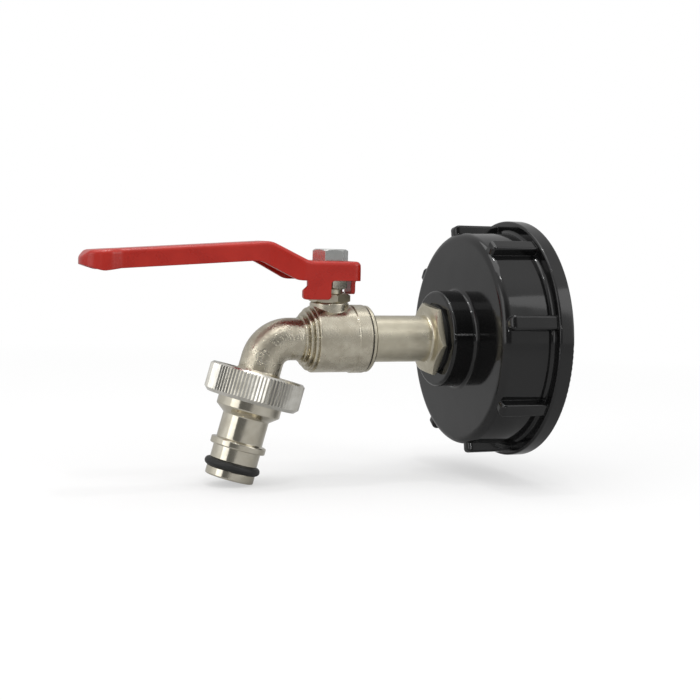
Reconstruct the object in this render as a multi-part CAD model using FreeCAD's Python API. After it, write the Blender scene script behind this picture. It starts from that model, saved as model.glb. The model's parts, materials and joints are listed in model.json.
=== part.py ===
import FreeCAD, Part
import math
import os
from FreeCAD import Placement, Rotation, Vector

os.makedirs("parts", exist_ok=True)

# Frame: the origin is the centre of the cap's open mouth. +X runs along the pipe towards the
# tank, +Z runs up the valve stem, and the spout and the open lever point to -X.

# Tank cap: moulded cap with a coarse S60x6 female thread and a tapped boss
cap_depth = 23.0            # mouth to closed face
cap_plate = 4.0             # thickness of the closed face
skirt_radius = 36.2
skirt_draft = 0.3           # the skirt is this much smaller at the face
face_edge_radius = 2.6
tank_thread_radius = 30.3   # root of the female thread
gasket_seat_step = 0.9      # the gasket's recess is this far inside the thread's root
flange_radius = 40.3
flange_length = 5.3
flange_edge_radius = 0.7
boss_radius = 16.2
boss_length = 8.3
boss_edge_radius = 1.0
grip_count = 8
grip_first_angle = 33.0     # from straight up, towards -Y
grip_width = 4.8
grip_rise = 2.8             # how far a grip stands out of the skirt
grip_root = 3.0             # depth of a grip's foot inside the skirt's wall
grip_setback = 1.2          # face to the front end of a grip
grip_end_radius = 1.8       # of its front end, seen from above and from the side
grip_edge_radius = 0.8
cap_root_radius = 1.2       # of the cap's inner corners, at the flange and at the boss

# Small radii on turned and cast edges
fine_edge = 0.2
edge_break = 0.4
cast_edge = 0.5

# Hexagon corners
chamfer_angle = 29.0
chamfer_land = 0.2          # the turned face is this much inside the flats

# Flat seals
cap_gasket_thickness = 3.0
cap_gasket_width = 3.6
boss_gasket_thickness = 1.0
boss_gasket_radius = 11.6
body_seal_thickness = 0.35
union_gasket_thickness = 1.6
union_gasket_inset = 2.0    # water way to the gasket's inner edge
gasket_clearance = 0.3      # radial play of a flat seal in its seat

# Inlet tailpiece: G 1/2 thread, hexagon, shank, rim and body thread
inlet_thread_radius = 10.43
inlet_thread_length = 11.0  # engaged in the boss
hexagon_flats = 22.2
hexagon_length = 2.3
hexagon_angle = 97.0
shank_radius = 7.75
shank_length = 21.3
shank_fillet = 0.9
tail_chamfer = 0.5          # at the back of the rim
tail_land_length = 0.95
tail_radius = 11.05
body_seal_inset = 0.15      # the seal's edge lies this far inside the rim
body_thread_radius = 9.2
thread_chamfer = 0.8        # at the free end of the inlet thread
flow_radius = 4.5           # water way through tailpiece and spout
thread_clearance = 0.05     # radial, between mating plain threads of one body

# Valve body: ball housing, stem neck, stop lug and spout
housing_radius = 11.0
housing_inlet_length = 11.7  # stem axis to the joint with the tailpiece
band_radius = 11.3
band_length = 4.4
band_step_length = 0.3
bead_radii = (7.7, 9.1, 10.35)
bead_length = 1.25
bead_groove = 0.55
bead_flank = 0.4            # length of the slope from a groove up to its bead
bead_edge = 0.3
housing_outlet_length = 6.5  # stem axis to the first bead
neck_radius = 6.45
neck_height = 12.0
neck_edge_radius = 0.4
spout_radius = 6.95
bend_radius = 9.2
bend_start = 13.8           # stem axis to the start of the bend
outlet_tilt = 15.4          # outlet axis from straight down, towards -X
lug_arm_base = 13.2         # the lug's arm starts at this height, clear above the housing
lug_height = 15.4
lug_near = 4.0              # stem axis to the lug's near side, at its foot
lug_reach = 9.0             # stem axis to its far side
lug_foot_end = 3.0          # stem axis to the foot's inlet-side end
lug_arm_reach = 6.3         # stem axis to the far side of the arm's end
lug_clearance = 0.25        # radial, gland nut's corners to the lug

# Ball and its seats
ball_radius = 6.3
port_radius = 4.0
seat_radius = 6.55
seat_bore = 4.1
seat_length = 2.8
seat_end = 6.8              # stem axis to the back of a seat
running_clearance = 0.05    # radial, between pieces that turn on each other
slot_width = 3.2
slot_floor = 4.6            # height of the slot's floor above the pipe axis

# Stem, packing and gland
stem_radius = 4.25
stem_collar_radius = 5.0
stem_collar_height = 0.8
stem_collar_lift = 0.1      # seats to the underside of the collar
stem_washer_height = 0.4
stem_shoulder_height = 0.8
stem_edge_radius = 0.2
collar_clearance = 0.1      # radial, stem collar in the body
packing_height = 1.2
packing_radius = 5.25
gland_flats = 12.0
gland_height = 3.1
gland_angle = -27.3
drive_flats = 7.4           # across the two flats of the stem
drive_base = 16.5
stem_inset = 0.2            # the stem ends this far below the lever's plate
tang_length = 7.2
spacer_flats = 10.5
spacer_height = 7.7
spacer_angle = -40.0

# Lever: pressed channel with the flanges down and two stop tabs
lever_thickness = 1.5
hub_depth = 6.3             # hub plate's top to the flange's lower edge
hub_end = 8.6               # stem axis to the lever's blunt end, at its lower edge
hub_draft = 6.0             # degrees, the blunt end leans out towards its lower edge
hub_half_width = 8.2
hub_corner_radius = 3.0
lever_length = 82.3         # stem axis to the tip
rise_start = 9.6            # stem axis to the foot of the rise
rise_end = 21.8
rise_height = 6.1
bend_lag = 0.6              # the flange bends this share of its depth nearer the tip than the plate
arm_drop = 4.0              # degrees, the arm falls towards its tip
arm_depth = 6.3
arm_half_width = 6.0
grip_half_width = 7.4       # of the widened tip
grip_length = 9.0           # tip to where the widening ends
widening_length = 3.0
tip_slope_length = 2.6      # the tip's plate falls over this length
tip_slope_drop = 2.2
lip_length = 6.3            # tip to the lowest point of the flange
lip_drop = 0.45             # how far that point lies below the arm's lower edge
lip_rise = 1.8              # how far the lip at the tip lies above that edge
plate_edge_radius = 1.4
rise_foot_bend = 6.0        # radii of the plate's bends at the foot and the top of the rise
rise_top_bend = 7.0
tip_bend = 2.5
lip_bend = 5.0
hub_taper = 9.0             # plan radii where the hub narrows to the arm and the arm widens
arm_taper = 12.0
grip_taper = 3.0
side_tab_front = 2.4        # stem axis to the near edge of the side tab
side_tab_width = 9.5
side_tab_height = 6.1
side_tab_notch = 1.5        # depth of the notch in the side tab's far edge
side_tab_toe = 2.9          # height of the toe below the notch
tab_root = 2.4              # a tab's foot runs on this far along the flange
tab_corner_radius = 1.2
end_tab_from = -1.2
end_tab_to = 5.0
end_tab_height = 4.6
stop_gap = 0.3              # tab to stop lug at each end of the travel

# Lever screw, M6 hexagon head
screw_radius = 3.0
screw_length = 9.5
screw_flats = 10.4
screw_head_height = 3.8
screw_angle = -6.6
screw_hole_depth = 0.5      # the hole in the stem runs on below the screw

# Outlet: G 3/4 thread, knurled union nut and quick-connect plug
outlet_drop = 11.9          # bend's corner to the threaded flange
outlet_thread_radius = 13.12
outlet_thread_length = 3.7
flare_length = 1.2          # the spout widens over this length at the threaded flange
flare_width = 0.9
nut_wall = 2.55             # thread to the tops of the knurl
nut_lead = 0.6              # the nut's rim stands this far above the threaded flange
nut_web = 2.0
nut_top_chamfer = 0.8
nut_bottom_chamfer = 1.3
knurl_count = 84
knurl_depth = 0.4
nut_clearance = 0.08        # radial, nut on its thread and on the plug
plug_collar_length = 1.8
plug_collar_gap = 0.3       # radial, collar to the nut's thread
plug_shoulder_radius = 10.5
plug_shoulder_length = 3.0
plug_cone_length = 2.2
plug_neck_radius = 7.6
plug_neck_length = 8.0
plug_ridge_radius = 9.1
plug_ridge_length = 2.5
plug_ridge_flank = 0.3
plug_barrel_radius = 7.8
plug_barrel_length = 4.5
plug_tip_radius = 8.0
plug_tip_length = 2.8
plug_bore = 5.3
o_ring_radius = 1.35        # of its round section
o_ring_play = 0.02          # between the ring and its groove
o_ring_stand = 1.17         # outer edge of the ring beyond the plug's tip

past = 1.0                  # how far a cutter runs past what it cuts

# Radii of the cap
gasket_seat_radius = tank_thread_radius - gasket_seat_step
grip_radius = skirt_radius + grip_rise
grip_foot = skirt_radius - grip_root

# Stations along the pipe, from the mouth of the cap
face_x = -cap_depth
floor_x = face_x + cap_plate
boss_x = face_x - boss_length
hexagon_rear_x = boss_x - boss_gasket_thickness
hexagon_front_x = hexagon_rear_x - hexagon_length
shank_x = hexagon_front_x - shank_length
tail_x = shank_x - tail_chamfer - tail_land_length
housing_end_x = tail_x - body_seal_thickness
stem_x = housing_end_x - housing_inlet_length

# Heights along the stem, from the pipe axis
stem_collar_base = seat_radius + stem_collar_lift
washer_z = stem_collar_base + stem_collar_height
shoulder_z = washer_z + stem_washer_height
packing_z = shoulder_z + stem_shoulder_height
gland_sleeve_z = packing_z + packing_height
plate_z = drive_base + spacer_height
head_z = plate_z + lever_thickness
stem_top_z = head_z - stem_inset
flange_z = head_z - hub_depth

# Stations down the outlet, from the bend's corner
outlet_end = outlet_drop + outlet_thread_length
collar_start = outlet_end + union_gasket_thickness
web_start = collar_start + plug_collar_length
nut_start = outlet_drop - nut_lead
nut_end = web_start + nut_web
cone_start = nut_end + plug_shoulder_length
neck_start = cone_start + plug_cone_length
ridge_start = neck_start + plug_neck_length
barrel_start = ridge_start + plug_ridge_length
groove_start = barrel_start + plug_barrel_length
groove_width = 2 * (o_ring_radius + o_ring_play)
groove_radius = plug_tip_radius + o_ring_stand - 2 * o_ring_radius - o_ring_play
tip_start = groove_start + groove_width
plug_end = tip_start + plug_tip_length
nut_bore = outlet_thread_radius + nut_clearance
nut_radius = nut_bore + nut_wall

gland_corner = gland_flats / math.sqrt(3) + lug_clearance
bend_turn = 90.0 - outlet_tilt
bend_corner = bend_start + bend_radius * math.tan(math.radians(bend_turn / 2))


def outline(points, plane):
    """Closed wire through (a, b, corner radius) points, each corner rounded by a tangent arc."""
    edges = []
    starts = []
    count = len(points)
    corners = [Vector(a, b, 0) for a, b, _ in points]
    for i in range(count):
        here = corners[i]
        back = (corners[i - 1] - here).normalize()
        ahead = (corners[(i + 1) % count] - here).normalize()
        radius = points[i][2]
        if radius > 0:
            half = back.getAngle(ahead) / 2
            reach = radius / math.tan(half)
            first = here + back * reach
            last = here + ahead * reach
            middle = here + (back + ahead).normalize() * (radius / math.sin(half) - radius)
            starts.append((first, last, middle))
        else:
            starts.append((here, here, None))
    for i in range(count):
        first, last, middle = starts[i]
        if middle is not None:
            edges.append(Part.Arc(plane(first), plane(middle), plane(last)).toShape())
        following = starts[(i + 1) % count][0]
        if last.distanceToPoint(following) > 1e-6:
            edges.append(Part.makeLine(plane(last), plane(following)))
    return Part.Wire(edges)


def turned(points):
    """Solid of revolution about local Z from (height, radius, corner radius) points."""
    wire = outline(points, lambda p: Vector(p.y, 0, p.x))
    return Part.Face(wire).revolve(Vector(0, 0, 0), Vector(0, 0, 1), 360)


def rod(radius, start, end):
    return Part.makeCylinder(radius, end - start, Vector(0, 0, start))


def ring(outer, inner, start, end):
    return rod(outer, start, end).cut(rod(inner, start, end))


def hexagon(flats, start, end, angle, start_chamfer=False, end_chamfer=False):
    """Hexagonal bar about local Z with one corner at angle from local X, its corners turned off."""
    reach = flats / math.sqrt(3)
    turns = [math.radians(angle + 60 * k) for k in range(7)]
    wire = Part.makePolygon([Vector(reach * math.cos(t), reach * math.sin(t), start) for t in turns])
    bar = Part.Face(wire).extrude(Vector(0, 0, end - start))
    land = flats / 2 - chamfer_land
    slope = (reach - land) * math.tan(math.radians(chamfer_angle))
    blank = [(start, 0, 0), (end, 0, 0)]
    if end_chamfer:
        blank += [(end, land, 0), (end - slope, reach, 0)]
    else:
        blank += [(end, reach, 0)]
    if start_chamfer:
        blank += [(start + slope, reach, 0), (start, land, 0)]
    else:
        blank += [(start, reach, 0)]
    return bar.common(turned(blank))


def on_pipe(shape, x):
    """Lay a piece built about local Z along the pipe, with its local zero at station x."""
    placed = shape.copy()
    placed.Placement = Placement(Vector(x, 0, 0), Rotation(Vector(0, 1, 0), 90))
    return placed


def on_stem(shape):
    placed = shape.copy()
    placed.Placement = Placement(Vector(stem_x, 0, 0), Rotation())
    return placed


def on_outlet(shape):
    """Turn local Z down the tilted outlet, with local zero at the bend's corner."""
    placed = shape.copy()
    turn = Rotation(Vector(0, 1, 0), 180 + outlet_tilt)
    placed.Placement = Placement(Vector(stem_x - bend_corner, 0, 0), turn)
    return placed


def level(point):
    return Vector(point.x, point.y, 0)


def prism(points, plane, direction):
    return Part.Face(outline(points, plane)).extrude(direction)


def save(name, shape):
    solid = shape.removeSplitter()
    if solid.ShapeType != "Solid" and len(solid.Solids) == 1:
        solid = solid.Solids[0]
    solid.exportStep("parts/" + name + ".step")
    print(name, len(solid.Solids), solid.isValid(), round(solid.Volume, 1))


def grip():
    """One finger grip of the cap, standing up at +Z before it is turned into its place."""
    front = face_x + grip_setback
    back = -flange_length / 2
    half = grip_width / 2
    end = grip_end_radius
    plan = [(front, -half, end), (front, half, end), (back, half, 0), (back, -half, 0)]
    plan_bar = prism(plan, lambda p: Vector(p.x, p.y, grip_foot), Vector(0, 0, grip_rise + grip_root))
    side = [(front, grip_foot, 0), (front, grip_radius, end), (back, grip_radius, 0), (back, grip_foot, 0)]
    side_bar = prism(side, lambda p: Vector(p.x, -half, p.y), Vector(0, grip_width, 0))
    bar = plan_bar.common(side_bar)
    rims = [edge for edge in bar.Edges if edge.BoundBox.ZMin > skirt_radius
            and edge.BoundBox.XMin < back - grip_edge_radius and abs(edge.CenterOfMass.y) > half - end]
    return bar.makeFillet(grip_edge_radius, rims)


def tank_cap():
    profile = [
        (floor_x, 0, 0),
        (floor_x, gasket_seat_radius, 0),
        (floor_x + cap_gasket_thickness, gasket_seat_radius, 0),
        (floor_x + cap_gasket_thickness, tank_thread_radius, 0),
        (0, tank_thread_radius, 0),
        (0, flange_radius, flange_edge_radius),
        (-flange_length, flange_radius, flange_edge_radius),
        (-flange_length, skirt_radius, cap_root_radius),
        (face_x, skirt_radius - skirt_draft, face_edge_radius),
        (face_x, boss_radius, cap_root_radius),
        (boss_x, boss_radius, boss_edge_radius),
        (boss_x, 0, 0),
    ]
    cap = turned(profile)
    cap = on_pipe(cap, 0)
    for k in range(grip_count):
        one = grip()
        one.rotate(Vector(0, 0, 0), Vector(1, 0, 0), grip_first_angle + 360.0 / grip_count * k)
        cap = cap.fuse(one)
    bore = inlet_thread_radius + thread_clearance
    return cap.cut(on_pipe(rod(bore, boss_x - past, floor_x + past), 0))


def cap_gasket():
    outer = gasket_seat_radius - gasket_clearance
    inner = outer - cap_gasket_width
    return on_pipe(ring(outer, inner, floor_x, floor_x + cap_gasket_thickness), 0)


def boss_gasket():
    inner = inlet_thread_radius + gasket_clearance
    return on_pipe(ring(boss_gasket_radius, inner, hexagon_rear_x, boss_x), 0)


def inlet_tailpiece():
    thread_end = boss_x + inlet_thread_length
    nose = stem_x + seat_end
    reach = hexagon_flats / math.sqrt(3)
    profile = [
        (nose, 0, 0),
        (nose, body_thread_radius, edge_break),
        (tail_x, body_thread_radius, 0),
        (tail_x, tail_radius, fine_edge),
        (tail_x + tail_land_length, tail_radius, fine_edge),
        (shank_x, tail_radius - tail_chamfer, 0),
        (shank_x, shank_radius, shank_fillet),
        (hexagon_front_x, shank_radius, shank_fillet),
        (hexagon_front_x, reach, 0),
        (hexagon_rear_x, reach, 0),
        (hexagon_rear_x, inlet_thread_radius, 0),
        (thread_end, inlet_thread_radius, thread_chamfer),
        (thread_end, 0, 0),
    ]
    piece = turned(profile)
    bar = hexagon(hexagon_flats, hexagon_front_x, hexagon_rear_x, hexagon_angle, True)
    keep = rod(2 * reach, nose - past, hexagon_front_x)
    keep = keep.fuse([bar, rod(inlet_thread_radius, hexagon_rear_x, thread_end + past)])
    piece = piece.common(keep)
    return on_pipe(piece.cut(rod(flow_radius, nose - past, thread_end + past)), 0)


def body_seal():
    inner = body_thread_radius + gasket_clearance
    return on_pipe(ring(tail_radius - body_seal_inset, inner, housing_end_x, tail_x), 0)


def housing():
    """Turned outside of the ball housing, with the beads that step down to the spout."""
    band_start = housing_inlet_length - band_length
    profile = [
        (housing_inlet_length, 0, 0),
        (housing_inlet_length, band_radius, edge_break),
        (band_start, band_radius, fine_edge),
        (band_start - band_step_length, housing_radius, fine_edge),
        (-housing_outlet_length, housing_radius, cast_edge),
    ]
    place = -housing_outlet_length
    for radius in reversed(bead_radii):
        profile.append((place, radius - bead_groove, fine_edge / 2))
        profile.append((place - bead_flank, radius, bead_edge))
        profile.append((place - bead_length, radius, bead_edge))
        place -= bead_length
    profile.append((place, flow_radius, 0))
    profile.append((place, 0, 0))
    return on_pipe(turned(profile), stem_x)


def spout(radius):
    """Round bar along the spout: straight, bend and leg down to the outlet."""
    centre = Vector(stem_x - bend_start, 0, -bend_radius)
    straight = on_pipe(rod(radius, -bend_start, -seat_end), stem_x)
    disc = Part.Face(Part.Wire(Part.makeCircle(radius, Vector(stem_x - bend_start, 0, 0), Vector(1, 0, 0))))
    bend = disc.revolve(centre, Vector(0, -1, 0), bend_turn)
    leg_start = bend_corner - bend_start
    leg = on_outlet(rod(radius, leg_start, outlet_drop + past / 2))
    return straight.fuse([bend, leg])


def stop_lug():
    """Cast lug behind the neck, with an arm above it: the lever's tabs meet its two flat sides."""
    open_side = hub_end - lever_thickness - stop_gap
    closed_side = -(hub_half_width - lever_thickness - stop_gap)
    near = math.sqrt(gland_corner ** 2 - closed_side ** 2)
    foot = prism([(-lug_foot_end, lug_near, 0), (open_side, lug_near, 0), (open_side, lug_reach, cast_edge),
                  (-lug_foot_end, lug_reach, 0)], level, Vector(0, 0, lug_height))
    arm = prism([(closed_side, near, 0), (-lug_foot_end, near, 0), (-lug_foot_end, lug_reach, 0),
                 (closed_side, lug_arm_reach, cast_edge)], lambda p: Vector(p.x, p.y, lug_arm_base),
                Vector(0, 0, lug_height - lug_arm_base))
    lug = foot.fuse(arm).cut(rod(gland_corner, 0, lug_height + past))
    inside = on_pipe(rod(housing_radius - past, -2 * housing_radius, 2 * housing_radius), 0)
    return on_stem(lug.cut(inside))


def valve_body():
    flare = outlet_drop - flare_length
    flange = turned([
        (flare, 0, 0),
        (flare, spout_radius, 0),
        (outlet_drop, spout_radius + flare_width, 0),
        (outlet_drop, outlet_thread_radius, cast_edge),
        (outlet_end, outlet_thread_radius, cast_edge),
        (outlet_end, 0, 0),
    ])
    neck = turned([(0, 0, 0), (0, neck_radius, 0), (neck_height, neck_radius, neck_edge_radius),
                   (neck_height, 0, 0)])
    body = housing().fuse([on_stem(neck), spout(spout_radius), on_outlet(flange), stop_lug()])
    socket = body_thread_radius + thread_clearance
    chamber = seat_radius + thread_clearance
    body = body.cut(on_pipe(rod(chamber, -seat_end, seat_end + past), stem_x))
    body = body.cut(on_pipe(rod(socket, seat_end, housing_inlet_length + past), stem_x))
    body = body.cut(spout(flow_radius))
    body = body.cut(on_outlet(rod(flow_radius, outlet_drop - past, outlet_end + past)))
    body = body.cut(on_stem(rod(stem_collar_radius + collar_clearance, 0, shoulder_z)))
    body = body.cut(on_stem(rod(stem_radius + running_clearance, 0, neck_height)))
    return body.cut(on_stem(rod(packing_radius + thread_clearance, packing_z, neck_height + past)))


def ball():
    sphere = Part.makeSphere(ball_radius)
    sphere = sphere.cut(Part.makeCylinder(port_radius, 4 * ball_radius, Vector(-2 * ball_radius, 0, 0),
                                          Vector(1, 0, 0)))
    slot = Part.makeBox(slot_width, 4 * ball_radius, ball_radius,
                        Vector(-slot_width / 2, -2 * ball_radius, slot_floor))
    return on_stem(sphere.cut(slot))


def seat_ring(side):
    """Seat on one side of the ball: side is -1 for the outlet and +1 for the inlet."""
    near = seat_end - seat_length
    flat = ring(seat_radius, seat_bore, near, seat_end)
    flat = flat.cut(Part.makeSphere(ball_radius + running_clearance))
    if side < 0:
        flat = flat.mirror(Vector(0, 0, 0), Vector(0, 0, 1))
    return on_pipe(flat, stem_x)


def drive_section(clearance, start, end):
    """Round bar with two flats facing -Y and +Y, as on the top of the stem."""
    half = drive_flats / 2 + clearance
    wide = 4 * stem_radius
    slab = Part.makeBox(wide, 2 * half, end - start, Vector(-wide / 2, -half, start))
    return rod(stem_radius + clearance, start, end).common(slab)


def stem():
    tang = slot_width / 2 - running_clearance
    key = Part.makeBox(2 * tang, tang_length, stem_collar_base - slot_floor - running_clearance,
                       Vector(-tang, -tang_length / 2, slot_floor + running_clearance))
    body = turned([
        (stem_collar_base, 0, 0),
        (stem_collar_base, stem_collar_radius, stem_edge_radius),
        (washer_z, stem_collar_radius, 0),
        (washer_z, stem_radius, 0),
        (drive_base, stem_radius, 0),
        (drive_base, 0, 0),
    ])
    body = body.fuse([key, drive_section(0, drive_base, stem_top_z)])
    hole_end = head_z - screw_length - screw_hole_depth
    return on_stem(body.cut(rod(screw_radius, hole_end, stem_top_z + past)))


def stem_washer():
    inner = stem_radius + running_clearance
    return on_stem(ring(stem_collar_radius + running_clearance, inner, washer_z, shoulder_z))


def stem_packing():
    return on_stem(ring(packing_radius, stem_radius + running_clearance, packing_z, gland_sleeve_z))


def gland_nut():
    top = neck_height + gland_height
    bar = hexagon(gland_flats, neck_height, top, gland_angle, True, True)
    piece = bar.fuse(rod(packing_radius, gland_sleeve_z, neck_height))
    return on_stem(piece.cut(rod(stem_radius + running_clearance, gland_sleeve_z - past, top + past)))


def lever_spacer():
    bar = hexagon(spacer_flats, drive_base, plate_z, spacer_angle, True)
    return on_stem(bar.cut(drive_section(running_clearance, drive_base - past, plate_z + past)))


def lever_side(inset, depth):
    """Side outline of the lever, its top and blunt end drawn in by inset, its edge lowered by depth."""
    fall = math.tan(math.radians(arm_drop))
    lean = math.tan(math.radians(hub_draft))
    top = head_z - inset
    crest = top + rise_height
    slope = lever_length - tip_slope_length
    slope_z = crest - fall * (slope - rise_end)
    edge = flange_z - depth
    foot = rise_start + hub_depth * bend_lag
    heel = rise_end + arm_depth * bend_lag
    arm_edge = head_z + rise_height - arm_depth - depth
    lip = lever_length - lip_length
    tip_edge = arm_edge - fall * (lever_length - heel) + lip_rise
    lip_edge = arm_edge - fall * (lip - heel) - lip_drop
    neck = lever_length - grip_length - widening_length
    beyond = lever_length + past
    return [
        (hub_end - inset - lean * (top - flange_z), top, 0),
        (-rise_start, top, rise_foot_bend),
        (-rise_end, crest, rise_top_bend),
        (-slope, slope_z, tip_bend),
        (-beyond, slope_z - tip_slope_drop * (tip_slope_length + past) / tip_slope_length, 0),
        (-beyond, tip_edge + (tip_edge - lip_edge) * past / lip_length, 0),
        (-lip, lip_edge, lip_bend),
        (-neck, arm_edge - fall * (neck - heel), lip_bend),
        (-heel, arm_edge, rise_top_bend),
        (-foot, edge, rise_foot_bend),
        (hub_end - inset + lean * depth, edge, 0),
    ]


def lever_plan(inset):
    """Plan outline of the lever, drawn in by inset on every side."""
    hub = hub_half_width - inset
    arm = arm_half_width - inset
    tip = grip_half_width - inset
    taper = side_tab_front + side_tab_width
    neck = lever_length - grip_length - widening_length
    bulge = lever_length - grip_length
    end = lever_length - inset
    one_side = [
        (hub_end - inset, hub, hub_corner_radius - inset),
        (-taper, hub, hub_taper),
        (-rise_end, arm, arm_taper),
        (-neck, arm, grip_taper),
        (-bulge, tip, grip_taper),
        (-end, tip, tip - edge_break),
    ]
    other = [(x, -y, r) for x, y, r in reversed(one_side)]
    return one_side + other


def lever_blank(inset, depth):
    """Solid between the lever's side outline and its plan outline."""
    wide = 2 * hub_half_width + past
    side = prism(lever_side(inset, depth), lambda p: Vector(p.x, -wide / 2, p.y), Vector(0, wide, 0))
    tall = head_z + rise_height + past
    return side.common(prism(lever_plan(inset), level, Vector(0, 0, tall)))


def side_tab():
    edge = flange_z
    low = flange_z - side_tab_height
    near = -side_tab_front
    far = near - side_tab_width
    notch = far + side_tab_notch
    toe = low + side_tab_toe
    points = [
        (near, low, tab_corner_radius),
        (near, edge, tab_corner_radius),
        (near + tab_root, edge, 0),
        (near + tab_root, edge + past, 0),
        (far, edge + past, 0),
        (far, edge, 0),
        (notch, edge, fine_edge),
        (notch, toe + side_tab_notch * 0.9, edge_break),
        (far, toe, edge_break),
        (far, low, tab_corner_radius),
    ]
    return prism(points, lambda p: Vector(p.x, -hub_half_width, p.y), Vector(0, lever_thickness, 0))


def end_tab():
    low = flange_z - end_tab_height
    points = [
        (end_tab_from, low, tab_corner_radius),
        (end_tab_from, flange_z, tab_corner_radius),
        (end_tab_from - tab_root, flange_z, 0),
        (end_tab_from - tab_root, flange_z + past, 0),
        (end_tab_to, flange_z + past, 0),
        (end_tab_to, low, tab_corner_radius),
    ]
    inner = hub_end - lever_thickness
    return prism(points, lambda p: Vector(inner, p.x, p.y), Vector(lever_thickness, 0, 0))


def plate_edges(blank):
    """Edges where the lever's plate meets the walls below it."""
    plates = []
    walls = []
    for face in blank.Faces:
        low_u, high_u, low_v, high_v = face.ParameterRange
        up = face.normalAt((low_u + high_u) / 2, (low_v + high_v) / 2).z
        if up > 0.3:
            plates.append(face)
        elif up > -0.01:
            walls += face.Edges
    return [edge for plate in plates for edge in plate.Edges if any(edge.isSame(w) for w in walls)]


def lever():
    blank = lever_blank(0, 0)
    blank = blank.makeFillet(plate_edge_radius, plate_edges(blank))
    channel = blank.cut(lever_blank(lever_thickness, arm_depth))
    channel = channel.fuse([side_tab(), end_tab()])
    hole = drive_section(running_clearance, plate_z - past, head_z + past)
    return on_stem(channel.cut(hole))


def lever_screw():
    top = head_z + screw_head_height
    head = hexagon(screw_flats, head_z, top, screw_angle, False, True)
    return on_stem(head.fuse(rod(screw_radius, head_z - screw_length, head_z)))


def knurled_bar(start, end):
    """Bar with straight V-shaped ribs round it."""
    corners = []
    for k in range(knurl_count):
        for share, radius in ((0, nut_radius), (0.5, nut_radius - knurl_depth)):
            turn = 2 * math.pi * (k + share) / knurl_count
            corners.append(Vector(radius * math.cos(turn), radius * math.sin(turn), start))
    return Part.Face(Part.makePolygon(corners + corners[:1])).extrude(Vector(0, 0, end - start))


def union_nut():
    blank = turned([
        (nut_start, 0, 0),
        (nut_start, nut_radius - nut_top_chamfer, 0),
        (nut_start + nut_top_chamfer, nut_radius, 0),
        (nut_end - nut_bottom_chamfer, nut_radius, 0),
        (nut_end, nut_radius - nut_bottom_chamfer, 0),
        (nut_end, 0, 0),
    ])
    nut = blank.common(knurled_bar(nut_start, nut_end))
    nut = nut.cut(rod(nut_bore, nut_start - past, web_start))
    return on_outlet(nut.cut(rod(plug_shoulder_radius + nut_clearance, web_start - past, nut_end + past)))


def union_gasket():
    outer = nut_bore - plug_collar_gap
    return on_outlet(ring(outer, flow_radius + union_gasket_inset, outlet_end, collar_start))


def hose_plug():
    piece = turned([
        (collar_start, 0, 0),
        (collar_start, nut_bore - plug_collar_gap, fine_edge),
        (web_start, nut_bore - plug_collar_gap, 0),
        (web_start, plug_shoulder_radius, 0),
        (cone_start, plug_shoulder_radius, cast_edge),
        (neck_start, plug_neck_radius, edge_break),
        (ridge_start, plug_neck_radius, fine_edge),
        (ridge_start + plug_ridge_flank, plug_ridge_radius, cast_edge),
        (barrel_start, plug_ridge_radius, edge_break),
        (barrel_start, plug_barrel_radius, 0),
        (groove_start, plug_barrel_radius, fine_edge),
        (groove_start, groove_radius, 0),
        (tip_start, groove_radius, 0),
        (tip_start, plug_tip_radius, fine_edge),
        (plug_end, plug_tip_radius, cast_edge),
        (plug_end, 0, 0),
    ])
    return on_outlet(piece.cut(rod(plug_bore, collar_start - past, plug_end + past)))


def plug_o_ring():
    middle = groove_start + groove_width / 2
    centre_radius = groove_radius + o_ring_play + o_ring_radius
    return on_outlet(Part.makeTorus(centre_radius, o_ring_radius, Vector(0, 0, middle)))


save("tank_cap", tank_cap())
save("cap_gasket", cap_gasket())
save("boss_gasket", boss_gasket())
save("inlet_tailpiece", inlet_tailpiece())
save("body_seal", body_seal())
save("valve_body", valve_body())
save("ball", ball())
save("seat_ring_outlet", seat_ring(-1))
save("seat_ring_inlet", seat_ring(1))
save("stem", stem())
save("stem_washer", stem_washer())
save("stem_packing", stem_packing())
save("gland_nut", gland_nut())
save("lever_spacer", lever_spacer())
save("lever", lever())
save("lever_screw", lever_screw())
save("union_nut", union_nut())
save("union_gasket", union_gasket())
save("hose_plug", hose_plug())
save("plug_o_ring", plug_o_ring())
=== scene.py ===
import json
import math
import bpy
import numpy as np
from mathutils import Matrix, Vector


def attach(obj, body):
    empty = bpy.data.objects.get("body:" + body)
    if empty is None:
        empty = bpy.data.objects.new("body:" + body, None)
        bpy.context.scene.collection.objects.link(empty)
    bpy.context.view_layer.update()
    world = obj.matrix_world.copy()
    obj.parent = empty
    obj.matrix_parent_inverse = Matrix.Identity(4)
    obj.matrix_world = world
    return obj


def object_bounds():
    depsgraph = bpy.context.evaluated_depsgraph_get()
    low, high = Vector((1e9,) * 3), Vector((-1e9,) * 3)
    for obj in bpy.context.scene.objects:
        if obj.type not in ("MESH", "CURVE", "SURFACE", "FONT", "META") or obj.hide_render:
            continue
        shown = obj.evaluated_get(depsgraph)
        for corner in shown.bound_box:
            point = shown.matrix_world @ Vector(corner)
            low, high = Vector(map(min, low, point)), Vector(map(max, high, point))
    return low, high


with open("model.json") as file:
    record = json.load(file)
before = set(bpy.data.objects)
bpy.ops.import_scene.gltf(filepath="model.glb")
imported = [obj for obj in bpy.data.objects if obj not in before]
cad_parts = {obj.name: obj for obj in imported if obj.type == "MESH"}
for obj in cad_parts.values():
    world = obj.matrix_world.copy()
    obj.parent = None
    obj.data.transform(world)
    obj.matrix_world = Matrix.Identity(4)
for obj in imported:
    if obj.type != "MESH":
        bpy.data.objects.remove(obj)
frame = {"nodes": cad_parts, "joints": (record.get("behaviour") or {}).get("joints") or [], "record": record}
cadLow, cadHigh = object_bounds()
print("frame loaded:", len(frame["nodes"]), "nodes")

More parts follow.
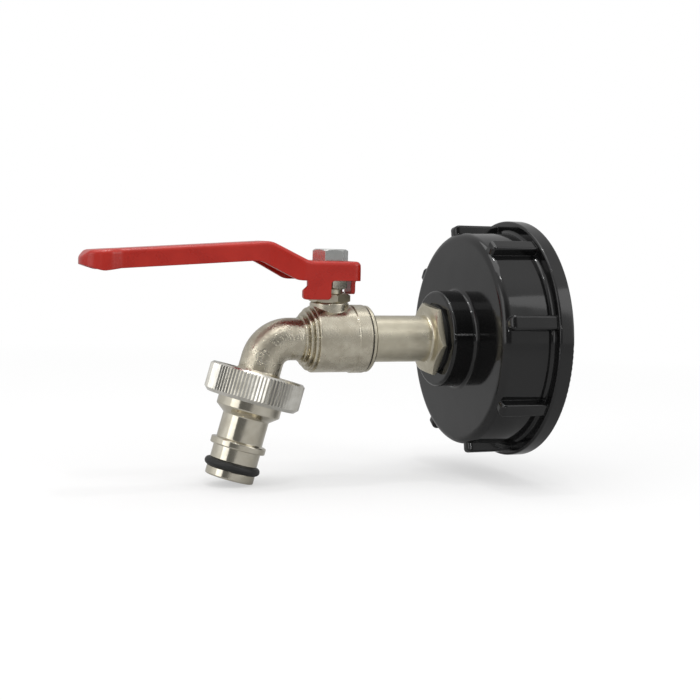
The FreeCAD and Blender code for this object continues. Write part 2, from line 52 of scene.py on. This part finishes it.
mm = 0.001
joints = {joint["name"]: joint for joint in frame["joints"]}
mounts = {mount["name"]: mount for mount in frame["record"]["mounts"]}
stemFoot = Vector(joints["lever_turn"]["pos_m"])        # where the stem's axis crosses the pipe's
outletAxis = Vector(joints["nut_turn"]["axis"]).normalized()
pipeAxis = Vector((1, 0, 0))
stemAxis = Vector((0, 0, 1))


# Small helpers for shader nodes.

# A node with its settings, its socket values by name, and its links as {input: output socket}.
def addNode(tree, kind, values=None, links=None, **settings):
    node = tree.nodes.new(kind)
    for name, value in settings.items():
        setattr(node, name, value)
    for name, value in (values or {}).items():
        node.inputs[name].default_value = value
    for name, source in (links or {}).items():
        tree.links.new(source, node.inputs[name])
    return node


# An empty node group with (name, socket type, default) inputs and (name, socket type) outputs.
def newGroup(name, inputs, outputs):
    tree = bpy.data.node_groups.new(name, "ShaderNodeTree")
    for label, kind, value in inputs:
        socket = tree.interface.new_socket(label, in_out="INPUT", socket_type=kind)
        if value is not None:
            socket.default_value = value
    for label, kind in outputs:
        tree.interface.new_socket(label, in_out="OUTPUT", socket_type=kind)
    return tree, tree.nodes.new("NodeGroupInput"), tree.nodes.new("NodeGroupOutput")


def useGroup(tree, group, values, links):
    node = tree.nodes.new("ShaderNodeGroup")
    node.node_tree = group
    for name, value in values.items():
        node.inputs[name].default_value = value
    for name, source in links.items():
        tree.links.new(source, node.inputs[name])
    return node


# Noise with this many waves to the metre.
def noiseAt(tree, place, perMetre, detail):
    return addNode(tree, "ShaderNodeTexNoise", {"Scale": perMetre, "Detail": detail}, {"Vector": place})


# The normal bent by a relief of this depth, over the given normal or the surface's own.
def bumpOver(tree, height, depth, strength, normal=None):
    links = {"Height": height}
    if normal is not None:
        links["Normal"] = normal
    return addNode(tree, "ShaderNodeBump", {"Strength": strength, "Distance": depth}, links).outputs["Normal"]


# Shader groups shared by the finishes.

groupNoise = {"broadShare": 0.22, "pitReach": 0.42,      # of the fine grain's scale and of its cells
              "smearPerMetre": 260.0, "edgePatchesPerMetre": 600.0}


# Height and shade of skin left by a sand mould: two sizes of noise and shallow round pits.
def makeCastSkin(look):
    tree, start, end = newGroup(
        "castSkin",
        [("Vector", "NodeSocketVector", None), ("Grain per metre", "NodeSocketFloat", 1500.0),
         ("Pits", "NodeSocketFloat", 0.35)],
        [("Height", "NodeSocketFloat"), ("Shade", "NodeSocketFloat")])
    fine = addNode(tree, "ShaderNodeTexNoise", {"Detail": 3.0, "Roughness": 0.6},
                   {"Vector": start.outputs["Vector"], "Scale": start.outputs["Grain per metre"]})
    broadScale = addNode(tree, "ShaderNodeMath", {1: look["broadShare"]},
                         {0: start.outputs["Grain per metre"]}, operation="MULTIPLY")
    broad = addNode(tree, "ShaderNodeTexNoise", {"Detail": 2.0, "Roughness": 0.5},
                    {"Vector": start.outputs["Vector"], "Scale": broadScale.outputs[0]})
    cells = addNode(tree, "ShaderNodeTexVoronoi", {"Randomness": 1.0},
                    {"Vector": start.outputs["Vector"], "Scale": start.outputs["Grain per metre"]})
    pit = addNode(tree, "ShaderNodeMapRange",
                  {"From Min": 0.0, "From Max": look["pitReach"], "To Min": -1.0, "To Max": 0.0},
                  {"Value": cells.outputs["Distance"]}, interpolation_type="SMOOTHSTEP")
    pitDepth = addNode(tree, "ShaderNodeMath", None, {0: pit.outputs[0], 1: start.outputs["Pits"]},
                       operation="MULTIPLY")
    grain = addNode(tree, "ShaderNodeMath", None, {0: fine.outputs["Fac"], 1: broad.outputs["Fac"]},
                    operation="ADD")
    height = addNode(tree, "ShaderNodeMath", None, {0: grain.outputs[0], 1: pitDepth.outputs[0]},
                     operation="ADD")
    tree.links.new(height.outputs[0], end.inputs["Height"])
    tree.links.new(broad.outputs["Fac"], end.inputs["Shade"])
    return tree


# Rings left by a lathe, as noise that only changes along the vector's X, and a smear in every direction.
def makeTurnedRings(look):
    tree, start, end = newGroup(
        "turnedRings",
        [("Vector", "NodeSocketVector", None), ("Rings per metre", "NodeSocketFloat", 4000.0)],
        [("Height", "NodeSocketFloat"), ("Shade", "NodeSocketFloat")])
    parts = addNode(tree, "ShaderNodeSeparateXYZ", None, {0: start.outputs["Vector"]})
    place = addNode(tree, "ShaderNodeMath", None,
                    {0: parts.outputs["X"], 1: start.outputs["Rings per metre"]}, operation="MULTIPLY")
    rings = addNode(tree, "ShaderNodeTexNoise", {"Scale": 1.0, "Detail": 2.0}, {"W": place.outputs[0]},
                    noise_dimensions="1D")
    smear = noiseAt(tree, start.outputs["Vector"], look["smearPerMetre"], 2.0)
    tree.links.new(rings.outputs["Fac"], end.inputs["Height"])
    tree.links.new(smear.outputs["Fac"], end.inputs["Shade"])
    return tree


# Mask that is 0 on flats and rises on corners: how far the rounded normal leans from the surface's
# own, broken up by patches. On the plated metals it lightens corners as polished wear; on the red lever it is
# a painted highlight along the corners.
def makeEdgeWearAndSheen(look):
    tree, start, end = newGroup(
        "edgeWearAndSheen",
        [("Rounded normal", "NodeSocketVector", None), ("Vector", "NodeSocketVector", None),
         ("Spread", "NodeSocketFloat", 0.12)],
        [("Mask", "NodeSocketFloat")])
    surface = addNode(tree, "ShaderNodeNewGeometry")
    lean = addNode(tree, "ShaderNodeVectorMath", None,
                   {0: start.outputs["Rounded normal"], 1: surface.outputs["Normal"]},
                   operation="DOT_PRODUCT")
    fall = addNode(tree, "ShaderNodeMath", {0: 1.0}, {1: lean.outputs["Value"]}, operation="SUBTRACT")
    corner = addNode(tree, "ShaderNodeMapRange", {"From Min": 0.0},
                     {"Value": fall.outputs[0], "From Max": start.outputs["Spread"]})
    patches = noiseAt(tree, start.outputs["Vector"], look["edgePatchesPerMetre"], 3.0)
    wearAndSheen = addNode(tree, "ShaderNodeMath", None, {0: corner.outputs[0], 1: patches.outputs["Fac"]},
                   operation="MULTIPLY", use_clamp=True)
    tree.links.new(wearAndSheen.outputs[0], end.inputs["Mask"])
    return tree


castSkin = makeCastSkin(groupNoise)
turnedRings = makeTurnedRings(groupNoise)
edgeWearAndSheen = makeEdgeWearAndSheen(groupNoise)


# A material with a Principled BSDF, object coordinates and its output already linked.
def newMaterial(name, shaderValues):
    material = bpy.data.materials.new(name)
    material.use_nodes = True
    tree = material.node_tree
    tree.nodes.clear()
    shader = addNode(tree, "ShaderNodeBsdfPrincipled", shaderValues)
    output = tree.nodes.new("ShaderNodeOutputMaterial")
    tree.links.new(shader.outputs["BSDF"], output.inputs["Surface"])
    coordinates = tree.nodes.new("ShaderNodeTexCoord")
    return material, tree, shader, coordinates.outputs["Object"]


def blendColours(tree, factor, first, second):
    node = addNode(tree, "ShaderNodeMix", data_type="RGBA")
    node.inputs["A"].default_value = (*first, 1.0)
    node.inputs["B"].default_value = (*second, 1.0)
    tree.links.new(factor, node.inputs["Factor"])
    return node.outputs["Result"]


# Base colour between the look's dark and light tones, by the factor.
def tintBetween(tree, shader, factor, look):
    tree.links.new(blendColours(tree, factor, look["dark"], look["light"]), shader.inputs["Base Color"])


# The source socket stretched from its usual span to low..high.
def spread(tree, source, low, high, fromLow=0.3, fromHigh=0.7):
    node = addNode(tree, "ShaderNodeMapRange",
                   {"From Min": fromLow, "From Max": fromHigh, "To Min": low, "To Max": high},
                   {"Value": source})
    return node.outputs[0]


# Object coordinates turned so that their X runs along the given axis.
def turnedAlong(tree, vector, axis):
    turn = axis.rotation_difference(pipeAxis).to_euler()
    node = addNode(tree, "ShaderNodeMapping", {"Rotation": turn}, {"Vector": vector})
    return node.outputs[0]


# Metal finishes.

# The cast skin's smoothFrom and smoothTo are places along X from the stem.
castNickel = {"dark": (0.50, 0.455, 0.36), "light": (0.66, 0.615, 0.50), "roughness": (0.20, 0.34),
              "grainPerMetre": 1500.0, "pits": 0.5, "depth": 0.14 * mm, "strength": 0.8, "corner": 0.45 * mm,
              "smoothShare": 0.16, "smoothFrom": -9.2 * mm, "smoothTo": -12.4 * mm}
turnedNickel = {"dark": (0.57, 0.525, 0.41), "light": (0.66, 0.615, 0.49), "roughness": (0.26, 0.36),
                "ringsPerMetre": 5000.0, "depth": 0.012 * mm, "strength": 0.25, "corner": 0.25 * mm}
polishedNickel = {"dark": (0.60, 0.56, 0.46), "light": (0.70, 0.66, 0.56), "roughness": (0.10, 0.18),
                  "ringsPerMetre": 4000.0, "depth": 0.006 * mm, "strength": 0.2, "corner": 0.2 * mm}
knurledNickel = {"dark": (0.62, 0.60, 0.54), "light": (0.80, 0.78, 0.72), "roughness": (0.12, 0.24),
                 "ringsPerMetre": 5000.0, "depth": 0.01 * mm, "strength": 0.2, "corner": 0.08 * mm}
zincSteel = {"dark": (0.55, 0.56, 0.54), "light": (0.72, 0.73, 0.71), "roughness": (0.22, 0.36),
             "ringsPerMetre": 3000.0, "depth": 0.01 * mm, "strength": 0.3, "corner": 0.3 * mm}
hardChrome = {"dark": (0.62, 0.63, 0.64), "light": (0.70, 0.71, 0.72), "roughness": (0.04, 0.08),
              "ringsPerMetre": 3000.0, "depth": 0.002 * mm, "strength": 0.1, "corner": 0.15 * mm}


# The grain's height, left whole on the spout and cut to a share on the turned housing beside it.
def roughEnd(tree, place, height, look):
    parts = addNode(tree, "ShaderNodeSeparateXYZ", None, {0: place})
    share = addNode(tree, "ShaderNodeMapRange",
                    {"From Min": stemFoot.x + look["smoothTo"], "From Max": stemFoot.x + look["smoothFrom"],
                     "To Min": 1.0, "To Max": look["smoothShare"]},
                    {"Value": parts.outputs["X"]}, interpolation_type="SMOOTHSTEP")
    scaled = addNode(tree, "ShaderNodeMath", None, {0: height, 1: share.outputs[0]}, operation="MULTIPLY")
    return scaled.outputs[0]


# Plated metal: tone and gloss drift in patches, grain or lathe rings in its normal, bright corners.
def finishMetal(name, look, axis):
    material, tree, shader, place = newMaterial(name, {"Metallic": 1.0})
    rounded = addNode(tree, "ShaderNodeBevel", {"Radius": look["corner"]}, samples=4)
    if "grainPerMetre" in look:
        skin = useGroup(tree, castSkin, {"Grain per metre": look["grainPerMetre"], "Pits": look["pits"]},
                        {"Vector": place})
    else:
        along = turnedAlong(tree, place, axis)
        skin = useGroup(tree, turnedRings, {"Rings per metre": look["ringsPerMetre"]}, {"Vector": along})
    wearAndSheen = useGroup(tree, edgeWearAndSheen, {},
                    {"Rounded normal": rounded.outputs["Normal"], "Vector": place})
    tone = addNode(tree, "ShaderNodeMath", None, {0: spread(tree, skin.outputs["Shade"], 0.0, 1.0),
                   1: wearAndSheen.outputs["Mask"]}, operation="ADD", use_clamp=True)
    tintBetween(tree, shader, tone.outputs[0], look)
    tree.links.new(spread(tree, tone.outputs[0], look["roughness"][1], look["roughness"][0], 0.0, 1.0),
                   shader.inputs["Roughness"])
    height = skin.outputs["Height"]
    if "smoothShare" in look:
        height = roughEnd(tree, place, height, look)
    normal = bumpOver(tree, height, look["depth"], look["strength"], rounded.outputs["Normal"])
    tree.links.new(normal, shader.inputs["Normal"])
    return material


# Plastic, rubber and painted finishes.

mouldedBlack = {"dark": (0.0045, 0.0045, 0.0048), "light": (0.0085, 0.0085, 0.0085),
                "roughness": (0.06, 0.13), "corner": 0.35 * mm,
                "wavesPerMetre": 90.0, "waveDepth": 0.25 * mm, "waveStrength": 0.25,
                "grainPerMetre": 1800.0, "grainDepth": 0.01 * mm, "grainStrength": 0.3}


# Glossy moulded plastic: slow sink waves and a faint grain in the normal, gloss that drifts.
def finishMoulded(name, look):
    material, tree, shader, place = newMaterial(name, {"IOR": 1.5})
    rounded = addNode(tree, "ShaderNodeBevel", {"Radius": look["corner"]}, samples=4)
    waves = noiseAt(tree, place, look["wavesPerMetre"], 1.0)
    grain = noiseAt(tree, place, look["grainPerMetre"], 2.0)
    slow = bumpOver(tree, waves.outputs["Fac"], look["waveDepth"], look["waveStrength"],
                    rounded.outputs["Normal"])
    fine = bumpOver(tree, grain.outputs["Fac"], look["grainDepth"], look["grainStrength"], slow)
    tree.links.new(fine, shader.inputs["Normal"])
    tintBetween(tree, shader, grain.outputs["Fac"], look)
    tree.links.new(spread(tree, waves.outputs["Fac"], *look["roughness"]), shader.inputs["Roughness"])
    return material


dippedRed = {"dark": (0.47, 0.012, 0.004), "light": (0.57, 0.020, 0.008), "roughness": (0.24, 0.34),
             "coatWeight": 0.15, "coatRoughness": 0.1, "patchesPerMetre": 120.0, "edgeSpread": 0.25,
             "peelPerMetre": 700.0, "peelDepth": 0.06 * mm, "peelStrength": 0.3, "corner": 0.6 * mm}


# Thick glossy coating with orange peel, lighter in patches, and a painted highlight lightening the corners.
def finishDipped(name, look):
    coat = {"Coat Weight": look["coatWeight"], "Coat Roughness": look["coatRoughness"]}
    material, tree, shader, place = newMaterial(name, coat)
    rounded = addNode(tree, "ShaderNodeBevel", {"Radius": look["corner"]}, samples=6)
    peel = noiseAt(tree, place, look["peelPerMetre"], 1.5)
    patches = noiseAt(tree, place, look["patchesPerMetre"], 3.0)
    # The corner mask lightens the red along the edges: a painted highlight.
    wearAndSheen = useGroup(tree, edgeWearAndSheen, {"Spread": look["edgeSpread"]},
                    {"Rounded normal": rounded.outputs["Normal"], "Vector": place})
    tone = addNode(tree, "ShaderNodeMath", None, {0: spread(tree, patches.outputs["Fac"], 0.0, 1.0),
                   1: wearAndSheen.outputs["Mask"]}, operation="ADD", use_clamp=True)
    tintBetween(tree, shader, tone.outputs[0], look)
    tree.links.new(spread(tree, patches.outputs["Fac"], *look["roughness"]), shader.inputs["Roughness"])
    normal = bumpOver(tree, peel.outputs["Fac"], look["peelDepth"], look["peelStrength"],
                      rounded.outputs["Normal"])
    tree.links.new(normal, shader.inputs["Normal"])
    return material


sealRubber = {"dark": (0.010, 0.010, 0.010), "light": (0.022, 0.022, 0.021), "roughness": (0.42, 0.60),
              "patchesPerMetre": 300.0, "grainPerMetre": 2500.0, "grainDepth": 0.03 * mm,
              "grainStrength": 0.4}
sealPolymer = {"dark": (0.72, 0.72, 0.70), "light": (0.86, 0.86, 0.84), "roughness": (0.38, 0.50),
               "patchesPerMetre": 300.0, "grainPerMetre": 1800.0, "grainDepth": 0.02 * mm,
               "grainStrength": 0.4}


# Matt seal: fine grain, patches of two tones.
def finishSeal(name, look):
    material, tree, shader, place = newMaterial(name, {})
    grain = noiseAt(tree, place, look["grainPerMetre"], 3.0)
    patches = noiseAt(tree, place, look["patchesPerMetre"], 3.0)
    tintBetween(tree, shader, patches.outputs["Fac"], look)
    tree.links.new(spread(tree, grain.outputs["Fac"], *look["roughness"]), shader.inputs["Roughness"])
    normal = bumpOver(tree, grain.outputs["Fac"], look["grainDepth"], look["grainStrength"])
    tree.links.new(normal, shader.inputs["Normal"])
    return material


blackPlastic = finishMoulded("blackPlastic", mouldedBlack)
rubber = finishSeal("sealRubber", sealRubber)
polymer = finishSeal("sealPolymer", sealPolymer)
finishes = {
    "tank_cap": blackPlastic,
    "cap_gasket": rubber, "boss_gasket": rubber, "body_seal": rubber, "union_gasket": rubber,
    "plug_o_ring": rubber,
    "seat_ring_outlet": polymer, "seat_ring_inlet": polymer, "stem_washer": polymer, "stem_packing": polymer,
    "valve_body": finishMetal("castNickel", castNickel, pipeAxis),
    "inlet_tailpiece": finishMetal("turnedNickel", turnedNickel, pipeAxis),
    "stem": finishMetal("stemNickel", turnedNickel, stemAxis),
    "lever_spacer": finishMetal("spacerNickel", polishedNickel, stemAxis),
    "gland_nut": finishMetal("glandNickel", turnedNickel, stemAxis),
    "union_nut": finishMetal("knurledNickel", knurledNickel, outletAxis),
    "hose_plug": finishMetal("polishedNickel", polishedNickel, outletAxis),
    "lever_screw": finishMetal("zincSteel", zincSteel, stemAxis),
    "ball": finishMetal("hardChrome", hardChrome, pipeAxis),
    "lever": finishDipped("dippedRed", dippedRed),
}
for name, node in frame["nodes"].items():
    node.data.materials.clear()
    node.data.materials.append(finishes[name])
print("finishes made:", len(set(finishes.values())))


# Pieces that the frame leaves to this script.

# A mesh of four-sided faces from points[along, across, xyz], each section a closed ring.
def makeRib(name, points, body, material):
    along, across = points.shape[:2]
    index = np.arange(along * across).reshape(along, across)
    index = np.concatenate([index, index[:, :1]], axis=1)
    quads = np.stack([index[:-1, :-1], index[:-1, 1:], index[1:, 1:], index[1:, :-1]], axis=-1).reshape(-1, 4)
    mesh = bpy.data.meshes.new(name)
    mesh.from_pydata(points.reshape(-1, 3).tolist(), [], quads.tolist())
    mesh.polygons.foreach_set("use_smooth", np.ones(len(quads), bool))
    mesh.materials.append(material)
    piece = bpy.data.objects.new(name, mesh)
    bpy.context.scene.collection.objects.link(piece)
    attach(piece, body)


capThread = {"pitch": 6.0 * mm, "depth": 2.3 * mm, "rootWidth": 4.2 * mm, "crestWidth": 1.2 * mm,
             "lead": 2.2 * mm, "stepsPerTurn": 120, "fadeTurns": 0.15, "sink": 0.3 * mm}


# A trapezoid rib carried along a helix inside the cap: the radius falls by the rib's depth at its
# crest, the place along X grows by one pitch a turn, and both ends fade into the wall.
def makeCapThread(look):
    rootRadius = mounts["tank_thread"]["dims"]["r_mm"] * mm
    length = mounts["tank_thread"]["dims"]["length_mm"] * mm
    turns = (length - 2 * look["lead"]) / look["pitch"]
    steps = int(look["stepsPerTurn"] * turns) + 1
    turn = np.linspace(0, turns, steps)
    fade = np.clip(np.minimum(turn, turns - turn) / look["fadeTurns"], 0, 1)
    fade = fade * fade * (3 - 2 * fade)        # eased at both of its ends
    across = np.array([-look["rootWidth"], -look["crestWidth"], look["crestWidth"], look["rootWidth"]]) / 2
    rise = np.array([-look["sink"], look["depth"], look["depth"], -look["sink"]])
    radius = rootRadius - rise[None, :] * np.where(rise[None, :] > 0, fade[:, None], 1.0)
    x = -length + look["lead"] + turn[:, None] * look["pitch"] + across[None, :]
    angle = 2 * math.pi * turn[:, None] * np.ones_like(across)
    points = np.stack([x, radius * np.cos(angle), radius * np.sin(angle)], axis=-1)
    makeRib("tankCapThread", points, "tap", blackPlastic)


makeCapThread(capThread)
print("added pieces made")


# Floor, light and camera.

white = (1.0, 1.0, 1.0, 1.0)
stage = {"floorRadius": 4.0, "floorSides": 96, "fadeFrom": 0.22, "fadeTo": 0.55, "floorTone": 0.50,
         "cameraGlow": 0.50, "mirrorGlow": 0.05, "worldFill": 0.62}


# 1 for a ray that metal or glass sends on, and 0 for others.
def mirrorRays(tree, path):
    node = addNode(tree, "ShaderNodeMath", None,
                   {0: path.outputs["Is Glossy Ray"], 1: path.outputs["Is Transmission Ray"]},
                   operation="MAXIMUM")
    return node.outputs[0]


# A round pale floor under the object. Past its middle it fades to the background's white, and it
# glows for the camera, with a little of that glow for mirrors.
def makeFloor(look):
    sides = look["floorSides"]
    turns = np.linspace(0, 2 * math.pi, sides, endpoint=False)
    centre = (cadLow + cadHigh) / 2
    ringPoints = np.stack([centre.x + look["floorRadius"] * np.cos(turns),
                           centre.y + look["floorRadius"] * np.sin(turns), np.full(sides, cadLow.z)], axis=-1)
    mesh = bpy.data.meshes.new("floor")
    mesh.from_pydata(ringPoints.tolist(), [], [list(range(sides))])
    floor = bpy.data.objects.new("floor", mesh)
    bpy.context.scene.collection.objects.link(floor)
    material, tree, shader, place = newMaterial("paleFloor", {"Roughness": 0.9, "Specular IOR Level": 0.0})
    offset = addNode(tree, "ShaderNodeVectorMath", {1: centre}, {0: place}, operation="SUBTRACT")
    reach = addNode(tree, "ShaderNodeVectorMath", None, {0: offset.outputs[0]}, operation="LENGTH")
    far = spread(tree, reach.outputs["Value"], 0.0, 1.0, look["fadeFrom"], look["fadeTo"])
    tintBetween(tree, shader, far, {"dark": (look["floorTone"],) * 3, "light": (0.0, 0.0, 0.0)})
    shader.inputs["Emission Color"].default_value = white
    path = addNode(tree, "ShaderNodeLightPath")
    mirrors = mirrorRays(tree, path)
    mirrorLevel = spread(tree, far, look["mirrorGlow"], look["floorTone"], 0.0, 1.0)
    cameraLevel = spread(tree, far, look["cameraGlow"], 1.0, 0.0, 1.0)
    mirrorGlow = addNode(tree, "ShaderNodeMath", None, {0: mirrors, 1: mirrorLevel},
                         operation="MULTIPLY")
    glow = addNode(tree, "ShaderNodeMath", None,
                   {0: path.outputs["Is Camera Ray"], 1: cameraLevel, 2: mirrorGlow.outputs[0]},
                   operation="MULTIPLY_ADD")
    tree.links.new(glow.outputs[0], shader.inputs["Emission Strength"])
    mesh.materials.append(material)


# Brightness of the room in mirrors, by the cosine of the angle from the front: a dim patch in front,
# bright sides and a grey back.
roomLevels = ((-1.0, 0.50), (-0.3, 0.62), (0.25, 0.90), (0.55, 0.80), (0.75, 0.42), (0.90, 0.14), (1.0, 0.14))
roomFront = (-0.366, -0.926, 0.084)


# White to the camera, one grey level to the lit surfaces, the room's levels to mirrors.
def makeWorld(look):
    world = bpy.data.worlds.new("studio")
    bpy.context.scene.world = world
    world.use_nodes = True
    tree = world.node_tree
    tree.nodes.clear()
    path = addNode(tree, "ShaderNodeLightPath")
    mirrors = mirrorRays(tree, path)
    coordinates = addNode(tree, "ShaderNodeTexCoord")
    facing = addNode(tree, "ShaderNodeVectorMath", {1: roomFront}, {0: coordinates.outputs["Generated"]},
                     operation="DOT_PRODUCT")
    ramp = addNode(tree, "ShaderNodeValToRGB", None,
                   {"Fac": spread(tree, facing.outputs["Value"], 0.0, 1.0, -1.0, 1.0)})
    ramp.color_ramp.interpolation = "EASE"
    stops = ramp.color_ramp.elements
    while len(stops) < len(roomLevels):
        stops.new(0.5)
    for stop, (cosine, level) in zip(stops, roomLevels):
        stop.position = (cosine + 1) / 2
        stop.color = (level, level, level, 1.0)
    fill = addNode(tree, "ShaderNodeMix", {"A": look["worldFill"]},
                   {"Factor": mirrors, "B": ramp.outputs["Color"]})
    seen = addNode(tree, "ShaderNodeMath", None,
                   {0: fill.outputs["Result"], 1: path.outputs["Is Camera Ray"]}, operation="MAXIMUM")
    background = addNode(tree, "ShaderNodeBackground", {"Color": white}, {"Strength": seen.outputs[0]})
    output = tree.nodes.new("ShaderNodeOutputWorld")
    tree.links.new(background.outputs[0], output.inputs["Surface"])


# Soft boxes and small lamps: where each stands from the object's middle in metres, its size and power.
softBoxes = {
    "topBox": {"place": (-0.05, 0.05, 0.95), "size": (0.9, 0.7), "power": 2.8},
    "leftBox": {"place": (-0.95, -0.35, 0.35), "size": (0.6, 0.8), "power": 1.8},
    "rightBox": {"place": (0.80, -0.70, 0.45), "size": (0.5, 0.8), "power": 1.6},
    "overheadLamp": {"place": (0.02, 0.02, 0.85), "size": (0.06, 0.06), "power": 0.5},
    "upperLamp": {"place": (-0.10, -0.33, 0.82), "size": (0.05, 0.05), "power": 0.35},
    "frontLamp": {"place": (-0.36, -0.90, 0.22), "size": (0.05, 0.05), "power": 0.25},
}


def makeSoftBoxes(boxes):
    middle = (cadLow + cadHigh) / 2
    for name, box in boxes.items():
        lamp = bpy.data.lights.new(name, "AREA")
        lamp.shape = "RECTANGLE"
        lamp.size, lamp.size_y = box["size"]
        lamp.energy = box["power"]
        piece = bpy.data.objects.new(name, lamp)
        piece.location = middle + Vector(box["place"])
        piece.rotation_euler = (-Vector(box["place"])).to_track_quat("-Z", "Y").to_euler()
        bpy.context.scene.collection.objects.link(piece)


# The stem's foot stands this far right of and above the middle of the view, at this depth.
shot = {"azimuth": 21.6, "elevation": 4.8, "roll": 1.5, "focalLength": 72.0, "depth": 460.9 * mm,
        "right": -7.15 * mm, "up": 3.66 * mm, "sensorWidth": 36.0, "clipStart": 10 * mm}


# Camera placed from the depth and offsets of the stem's foot in its own view.
def makeCamera(look):
    azimuth, elevation, roll = (math.radians(look[key]) for key in ("azimuth", "elevation", "roll"))
    level = Vector((math.cos(azimuth), -math.sin(azimuth), 0))
    ahead = Vector((math.sin(azimuth) * math.cos(elevation), math.cos(azimuth) * math.cos(elevation),
                    -math.sin(elevation)))
    upright = level.cross(ahead)
    right = level * math.cos(roll) + upright * math.sin(roll)
    up = upright * math.cos(roll) - level * math.sin(roll)
    data = bpy.data.cameras.new("camera")
    data.sensor_width = look["sensorWidth"]
    data.lens = look["focalLength"]
    data.clip_start = look["clipStart"]
    camera = bpy.data.objects.new("camera", data)
    camera.rotation_mode = "QUATERNION"
    camera.rotation_quaternion = Matrix((right, up, -ahead)).transposed().to_quaternion()
    camera.location = stemFoot - ahead * look["depth"] - right * look["right"] - up * look["up"]
    bpy.context.scene.collection.objects.link(camera)
    bpy.context.scene.camera = camera


makeFloor(stage)
makeWorld(stage)
makeSoftBoxes(softBoxes)
makeCamera(shot)
bpy.context.scene.view_settings.view_transform = "Standard"
print("floor, light and camera set")
